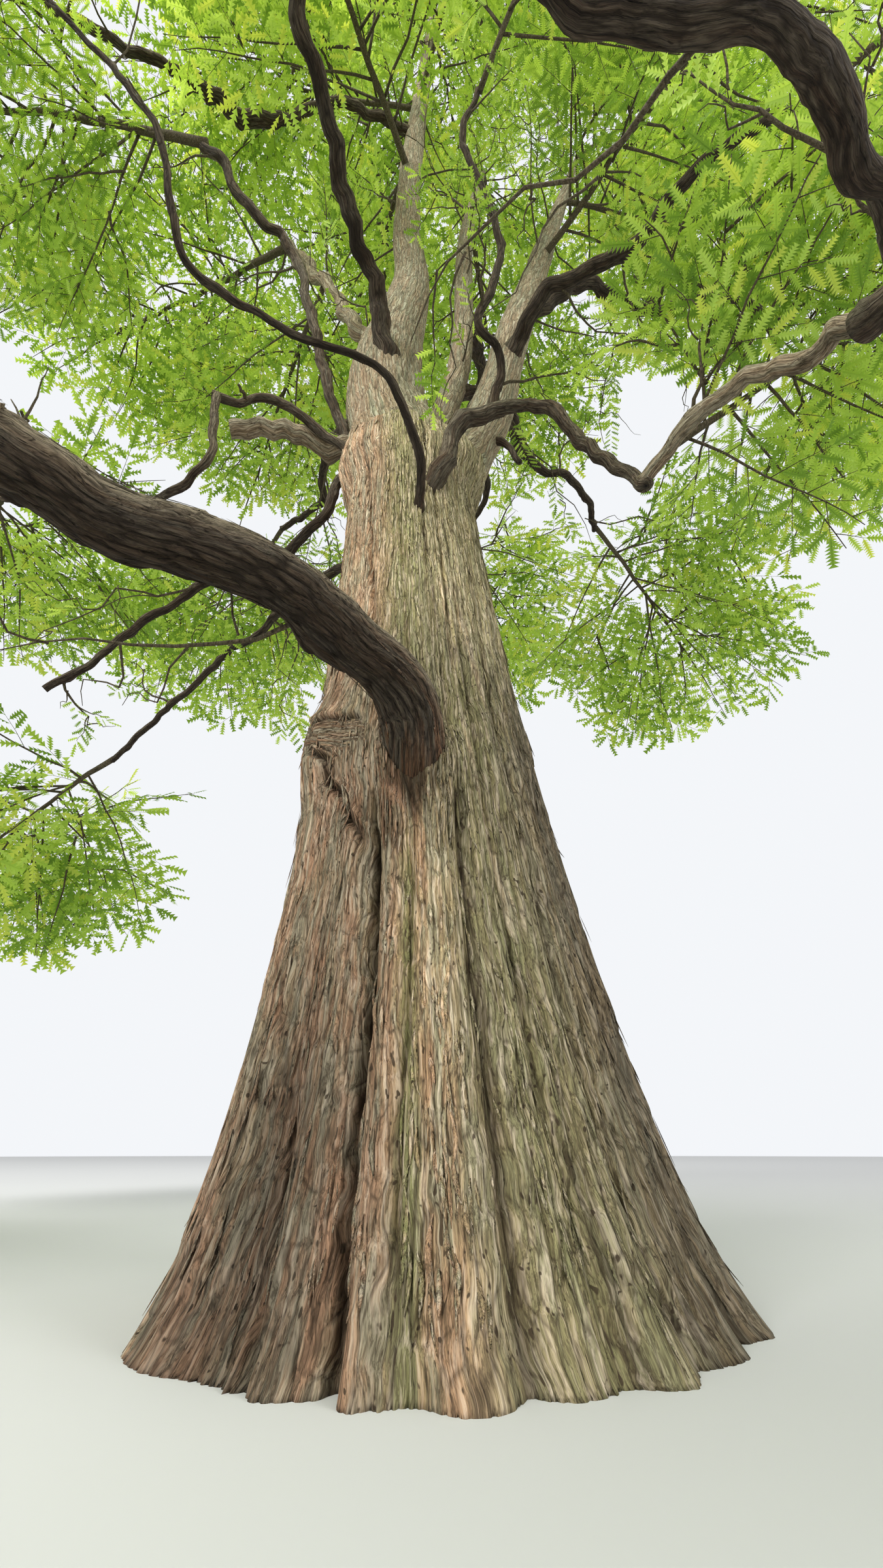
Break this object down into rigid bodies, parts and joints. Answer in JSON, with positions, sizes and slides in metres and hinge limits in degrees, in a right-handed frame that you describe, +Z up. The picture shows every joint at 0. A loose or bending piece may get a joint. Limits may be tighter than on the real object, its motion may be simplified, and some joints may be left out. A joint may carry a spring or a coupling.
{
  "type": "bald cypress",
  "caption": "Rooted tree with a fluted trunk flaring wide at its foot, a low fork into upright leaders, crooked boughs and layered masses of feathery foliage.",
  "frame": {"origin": "middle of the flat cut under the trunk at ground level", "axes": "+Z up along the trunk; -Y towards the front, where the low bough springs; +X to the tree's right as seen from the front"},
  "size_m": [13.629, 11.9905, 19.4155],
  "materials": {
    "trunk_bark": "rough stringy bark, reddish tan with grey-green patches",
    "limb_bark": "rough dark bark",
    "needles": "soft light green needles in flat sprays"
  },
  "bodies": {
    "root": {"trunk": "trunk_bark", "left_leader": "limb_bark", "middle_leader": "limb_bark", "right_leader": "limb_bark", "back_bough_1": "limb_bark", "back_bough_2": "limb_bark", "back_bough_3": "limb_bark", "back_bough_4": "limb_bark", "back_bough_5": "limb_bark", "broken_bough": "limb_bark", "crooked_bough": "limb_bark", "curved_bough": "limb_bark", "dark_bough": "limb_bark", "far_left_bough": "limb_bark", "knotty_bough": "limb_bark", "low_left_bough": "limb_bark", "low_left_bough_outer": "limb_bark", "overhead_bough": "limb_bark", "pale_bough": "limb_bark", "right_bough": "limb_bark", "right_bough_middle": "limb_bark", "right_bough_outer": "limb_bark", "right_stub": "limb_bark", "riser_bough": "limb_bark", "side_bough": "limb_bark", "twisted_bough": "limb_bark", "twisted_bough_outer": "limb_bark", "foliage_back_bough_1": "needles", "foliage_back_bough_2": "needles", "foliage_back_bough_3": "needles", "foliage_back_bough_4": "needles", "foliage_back_bough_5": "needles", "foliage_crooked_bough": "needles", "foliage_curved_bough": "needles", "foliage_dark_bough": "needles", "foliage_far_left_bough": "needles", "foliage_knotty_bough": "needles", "foliage_left_leader": "needles", "foliage_left_leader_side_10": "needles", "foliage_left_leader_side_11": "needles", "foliage_left_leader_side_12": "needles", "foliage_left_leader_side_13": "needles", "foliage_left_leader_side_14": "needles", "foliage_left_leader_side_5": "needles", "foliage_left_leader_side_6": "needles", "foliage_left_leader_side_7": "needles", "foliage_left_leader_side_8": "needles", "foliage_left_leader_side_9": "needles", "foliage_low_left_bough_outer": "needles", "foliage_middle_leader": "needles", "foliage_middle_leader_side_4": "needles", "foliage_overhead_bough": "needles", "foliage_pale_bough": "needles", "foliage_pale_bough_side_15": "needles", "foliage_right_bough_outer_side_1": "needles", "foliage_right_leader": "needles", "foliage_right_leader_side_2": "needles", "foliage_right_leader_side_3": "needles", "foliage_riser_bough": "needles", "foliage_twisted_bough_outer": "needles"}
  },
  "joints": []
}
